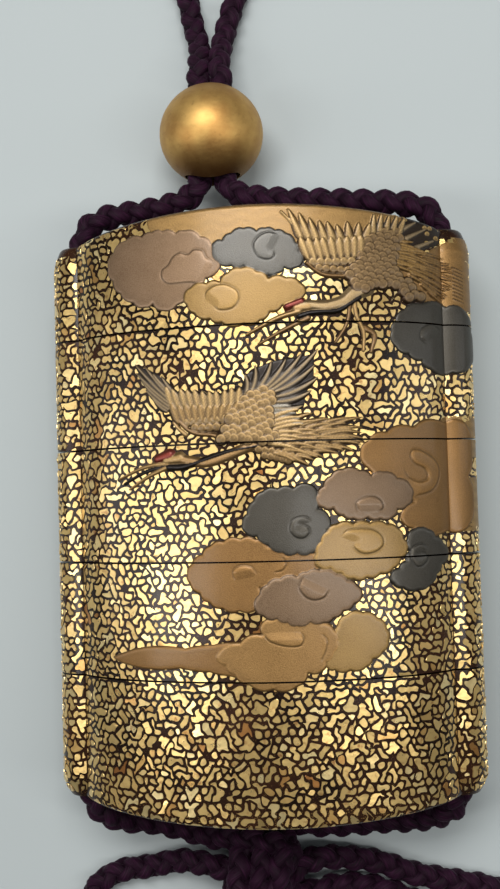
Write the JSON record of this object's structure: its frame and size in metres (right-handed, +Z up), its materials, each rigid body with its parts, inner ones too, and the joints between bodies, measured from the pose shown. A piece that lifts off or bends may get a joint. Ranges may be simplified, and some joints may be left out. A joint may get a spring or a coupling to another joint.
{
  "type": "inro case",
  "caption": "Nested oval lacquered inro case lying on its back, with side cord runners, a bead, and a silk cord tied in a bow.",
  "frame": {"origin": "on the surface that the case lies on, under the middle of the closed case", "axes": "+X across the case, +Y along it towards the lid and the bead, +Z up from the surface, away from the case's back"},
  "size_m": [0.0636, 0.1984, 0.0233],
  "materials": {
    "lacquer": "black-brown lacquer covered in gold flakes, clear gloss",
    "bead_gold": "satin gold, slightly worn",
    "silk": "braided dark purple silk"
  },
  "bodies": {
    "root": {"lid": "lacquer", "case_1": "lacquer", "case_2": "lacquer", "case_3": "lacquer", "case_4": "lacquer", "ojime_bead": "bead_gold", "cord_left": "silk", "cord_loop": "silk", "cord_right": "silk", "bow_left": "silk", "bow_right": "silk", "cord_knot": "silk"}
  },
  "joints": []
}
